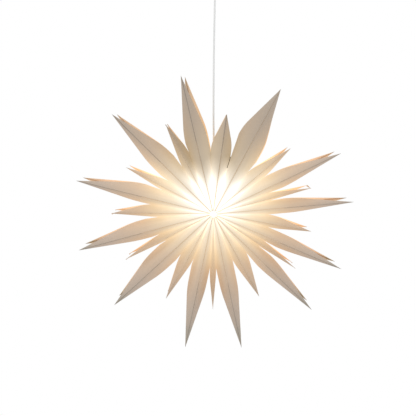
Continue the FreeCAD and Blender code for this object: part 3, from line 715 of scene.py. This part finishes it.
ringSet = {"bore": 0.0133, "rib": 0.019, "body": 0.018, "height": 0.006}
ringOutline = [(ringSet["bore"], 0), (ringSet["rib"] - 0.0006, 0)]
ringOutline += arcOf((ringSet["rib"] - 0.0008, 0.001), 0.0008, -60, 60, 5)
ringOutline += [(ringSet["body"] - 0.0004, 0.0026), (ringSet["body"] - 0.0004, ringSet["height"] - 0.0006),
                (ringSet["body"] - 0.001, ringSet["height"]), (ringSet["bore"], ringSet["height"])]
turnedPiece("shadeRing", "shade_ring", "ring", holderWhite,
            ringOutline, baseOf("shade_ring"), segments=96)
ringGrips = {"count": 36, "radius": 0.0174, "rib": 0.0006, "length": 0.003, "rise": 0.0026}
ribRing("shadeRingGrips", "ring", holderWhite, ringGrips,
        baseOf("shade_ring") + Vector((0, 0, ringGrips["rise"])))

bpy.data.objects["holder_cap"].data.materials.clear()
bpy.data.objects["holder_cap"].data.materials.append(holderWhite)
capGrips = {"count": 30, "radius": 0.0131, "rib": 0.00045, "length": 0.0066, "rise": 0.0006}
ribRing("holderCapGrips", "lamp_holder", holderWhite, capGrips,
        baseOf("holder_cap") + Vector((0, 0, capGrips["rise"])))

glandSet = {
    "stem": [(0.0025, 0), (0.003, 0), (0.003, 0.006), (0.0041, 0.006)],
    "rimCentre": (0.0041, 0.0064), "rimRadius": 0.0004,
    "cone": [(0.0045, 0.0116), (0.0041, 0.012), (0.0034, 0.0145), (0.0031, 0.0157),
             (0.0029, 0.016), (0.0025, 0.016)],
}
glandOutline = glandSet["stem"] + arcOf(glandSet["rimCentre"], glandSet["rimRadius"], -90, 0, 3)
glandOutline += glandSet["cone"]
turnedPiece("cordGland", "cord_gland", "lamp_holder", gripWhite, glandOutline,
            baseOf("cord_gland"), segments=48)

# bulb: frosted globe, rolled screw cap, black glass disc and solder tip
globeSet = {"radius": 0.0225, "neck": 0.008, "wall": 0.0008, "height": 0.051}
globeCentre = globeSet["radius"]
neckLean = math.degrees(math.asin(globeSet["neck"] / globeSet["radius"]))
globeOutline = arcOf((0, globeCentre), globeSet["radius"], -90, 84 - neckLean, 40)
globeOutline += [(globeSet["neck"] + 0.0006, globeCentre + 0.0212), (globeSet["neck"], globeCentre + 0.0228),
                 (globeSet["neck"], globeSet["height"]),
                 (globeSet["neck"] - globeSet["wall"], globeSet["height"]),
                 (globeSet["neck"] - globeSet["wall"], globeCentre + 0.0205)]
globeOutline += arcOf((0, globeCentre), globeSet["radius"] - globeSet["wall"], 84 - neckLean, -90, 40)
turnedPiece("bulbGlobe", "bulb_globe", "bulb", globeGlass, globeOutline,
            baseOf("bulb_globe"), segments=96)

screwSet = {"root": 0.0058, "crest": 0.0069, "height": 0.021, "disc": 0.005, "pitch": 0.0028}
screwOutline = [(screwSet["root"], 0), (globeSet["neck"] - 0.0001, 0), (globeSet["neck"] - 0.0001, 0.0004),
                (0.0064, 0.0014)]
screwOutline += threadRun(screwSet["crest"], 0.0007, screwSet["pitch"], 0.0016, 0.0186, 12)
screwOutline += [(0.0062, 0.0192), (screwSet["disc"], screwSet["height"]),
                 (screwSet["disc"] - 0.0006, screwSet["height"]), (screwSet["root"], 0.019)]
turnedPiece("bulbScrewCap", "bulb_screw_cap", "bulb", capMetal, screwOutline,
            baseOf("bulb_screw_cap"))
tipOutline = [(0, 0), (0.0022, 0)] + arcOf((0.0012, 0.0003), 0.001, 0, 90, 5) + [(0, 0.0013)]
turnedPiece("bulbTip", "bulb_tip", "bulb", brass, tipOutline,
            baseOf("bulb_tip"), segments=32)

# ceiling fitting: cup with a soft shoulder and rolled rim, thumb screws and cord grip
cupSet = {"radius": 0.045, "wall": 0.0015, "height": 0.0415, "shoulder": 0.008, "hole": 0.0052}
shoulderCentre = (cupSet["radius"] - cupSet["shoulder"], cupSet["shoulder"])
cupOutline = [(cupSet["hole"], 0)]
cupOutline += arcOf(shoulderCentre, cupSet["shoulder"], -90, 0, 14)
cupOutline += [(cupSet["radius"], cupSet["height"] - 0.0012)]
cupOutline += arcOf((cupSet["radius"] - 0.0007, cupSet["height"] - 0.0007), 0.0007, 0, 180, 8)
cupOutline += [(cupSet["radius"] - cupSet["wall"], cupSet["height"] - 0.002)]
cupOutline += arcOf(shoulderCentre, cupSet["shoulder"] - cupSet["wall"], 0, -90, 14)
cupOutline += [(cupSet["hole"], cupSet["wall"])]
turnedPiece("ceilingCup", "ceiling_cup", "ceiling", enamel, cupOutline,
            baseOf("ceiling_cup"), segments=128)

thumbSet = {
    "end": [(0, 0), (0.0013, 0)],
    "radius": 0.0016, "depth": 0.0003, "pitch": 0.0007, "low": 0.0003, "high": 0.0078,
    "knob": [(0.0032, 0.008), (0.0034, 0.0083), (0.0034, 0.0116), (0.0028, 0.012),
             (0.0014, 0.012), (0.0012, 0.0116), (0, 0.0116)],
}
screwLine = thumbSet["end"] + threadRun(thumbSet["radius"], thumbSet["depth"], thumbSet["pitch"],
                                        thumbSet["low"], thumbSet["high"], 8)
screwLine += thumbSet["knob"]
knurls = {"count": 28, "radius": 0.0034, "rib": 0.0002, "length": 0.0031, "rise": 0.0084}
for label, node, sign in (("thumbScrewRight", "cup_screw_right", 1),
                          ("thumbScrewLeft", "cup_screw_left", -1)):
    low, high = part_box(node)
    start = Vector((low[0] if sign > 0 else high[0], 0, (low[2] + high[2]) / 2))
    along = Matrix.Rotation(math.radians(90 * sign), 4, "Y")
    turnedPiece(label, node, "ceiling", brightSteel, screwLine, start, along, 48)
    ribRing(label + "Knurls", "ceiling", brightSteel, knurls,
            start + Vector((sign * knurls["rise"], 0, 0)), along)

gripSet = {
    "nose": [(0.0038, 0), (0.005, 0)], "noseCentre": (0.005, 0.0006), "noseRadius": 0.0006,
    "skirt": [(0.0069, 0.0106), (0.007, 0.011), (0.0077, 0.011), (0.008, 0.0113),
              (0.008, 0.0147), (0.0077, 0.015)],
    "radius": 0.005, "depth": 0.0003, "pitch": 0.0015, "low": 0.015, "high": 0.027,
    "bore": [(0.0023, 0.027), (0.0023, 0.004)],
}
gripOutline = gripSet["nose"] + arcOf(gripSet["noseCentre"], gripSet["noseRadius"], -80, 0, 3)
gripOutline += gripSet["skirt"]
gripOutline += threadRun(gripSet["radius"], gripSet["depth"], gripSet["pitch"],
                         gripSet["low"], gripSet["high"], 8)
gripOutline += gripSet["bore"]
turnedPiece("cordGrip", "cord_grip", "ceiling", gripWhite, gripOutline, baseOf("cord_grip"))
gripRibs = {"count": 24, "radius": 0.0078, "rib": 0.0003, "length": 0.0032, "rise": 0.0114}
ribRing("cordGripRibs", "ceiling", gripWhite, gripRibs,
        baseOf("cord_grip") + Vector((0, 0, gripRibs["rise"])))

blockLow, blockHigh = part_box("terminal_block")
headSet = {"outline": [(0, 0), (0.0018, 0), (0.0018, 0.0006), (0.0014, 0.0009), (0, 0.0009)],
           "spread": 0.004, "gap": 0.0001}
for index, side in enumerate((-1, 1)):
    place = Vector((blockLow[0] - headSet["gap"], side * headSet["spread"],
                    (blockLow[2] + blockHigh[2]) / 2))
    turnedPiece("terminalScrew%d" % (index + 1), None, "ceiling", brightSteel,
                headSet["outline"],
                place, Matrix.Rotation(math.radians(-90), 4, "Y"), 24)

plainNodes = {
    "ceiling_bracket": zinc, "grip_nut": zinc, "grip_screw": brightSteel, "terminal_block": nylon,
    "cord_tail": cordWhite, "wire_live": liveBrown, "wire_neutral": neutralBlue,
    "contact_block": ceramic, "centre_contact": brass, "bulb_insulator": blackGlass,
    "bulb_stem": stemGlass, "bulb_filament": strandGlow, "wire_hanger": darkWire,
}
for node, material in plainNodes.items():
    carried = bpy.data.objects[node]
    for slot in carried.material_slots:
        slot.material = material
print("fittings made")

# light: even white surroundings, with a pure white view behind the star
world = bpy.data.worlds.new("surroundings")
bpy.context.scene.world = world
world.use_nodes = True
worldTree = world.node_tree
worldTree.nodes.clear()
rays = worldTree.nodes.new("ShaderNodeLightPath")
seen = worldTree.nodes.new("ShaderNodeBackground")
seen.inputs["Color"].default_value = (1, 1, 1, 1)
lit = worldTree.nodes.new("ShaderNodeBackground")
lit.inputs["Color"].default_value = (0.98, 0.99, 1.0, 1)
lit.inputs["Strength"].default_value = 0.8
mixed = worldTree.nodes.new("ShaderNodeMixShader")
output = worldTree.nodes.new("ShaderNodeOutputWorld")
worldTree.links.new(rays.outputs["Is Camera Ray"], mixed.inputs[0])
worldTree.links.new(lit.outputs[0], mixed.inputs[1])
worldTree.links.new(seen.outputs[0], mixed.inputs[2])
worldTree.links.new(mixed.outputs[0], output.inputs[0])


def areaLight(name, given):
    data = bpy.data.lights.new(name, "AREA")
    data.shape = "DISK"
    data.size = given["size"]
    data.energy = given["power"]
    data.color = given["colour"]
    light = newObject(name, data)
    light.location = given["place"]
    aim = hub - Vector(given["place"])
    light.rotation_euler = aim.to_track_quat("-Z", "Y").to_euler()


lights = {
    "keyLight": {"place": (-1.6, -1.8, 0.9), "size": 1.4, "power": 14, "colour": (1.0, 0.98, 0.95)},
    "fillLight": {"place": (1.8, -1.5, -0.4), "size": 1.6, "power": 6, "colour": (0.95, 0.97, 1.0)},
}
for name, given in lights.items():
    areaLight(name, given)

floorSet = {"half": 6, "level": -1.7}
floorCorners = [(x * floorSet["half"], y * floorSet["half"], floorSet["level"])
                for x, y in ((-1, -1), (1, -1), (1, 1), (-1, 1))]
floorMesh = bpy.data.meshes.new("floor")
floorMesh.from_pydata(floorCorners, [], [(0, 1, 2, 3)])
floor = newObject("floor", floorMesh)
floorMaterial, floorTree, floorShader = newMaterial("floorWhite")
floorShader.inputs["Base Color"].default_value = (0.9, 0.9, 0.9, 1)
floorShader.inputs["Roughness"].default_value = 0.9
floorRays = floorTree.nodes.new("ShaderNodeLightPath")
floorGlow = floorTree.nodes.new("ShaderNodeEmission")
floorMix = floorTree.nodes.new("ShaderNodeMixShader")
anyView = mathNode(floorTree, "MAXIMUM", floorRays.outputs["Is Camera Ray"],
                   floorRays.outputs["Is Glossy Ray"])
anyView = mathNode(floorTree, "MAXIMUM", anyView, floorRays.outputs["Is Transmission Ray"])
floorTree.links.new(anyView, floorMix.inputs[0])
floorTree.links.new(floorShader.outputs[0], floorMix.inputs[1])
floorTree.links.new(floorGlow.outputs[0], floorMix.inputs[2])
floorTree.links.new(floorMix.outputs[0], floorTree.nodes["Material Output"].inputs[0])
floorMesh.materials.append(floorMaterial)

bpy.context.scene.view_settings.view_transform = "Standard"
bpy.context.view_layer.update()
print("scene made")
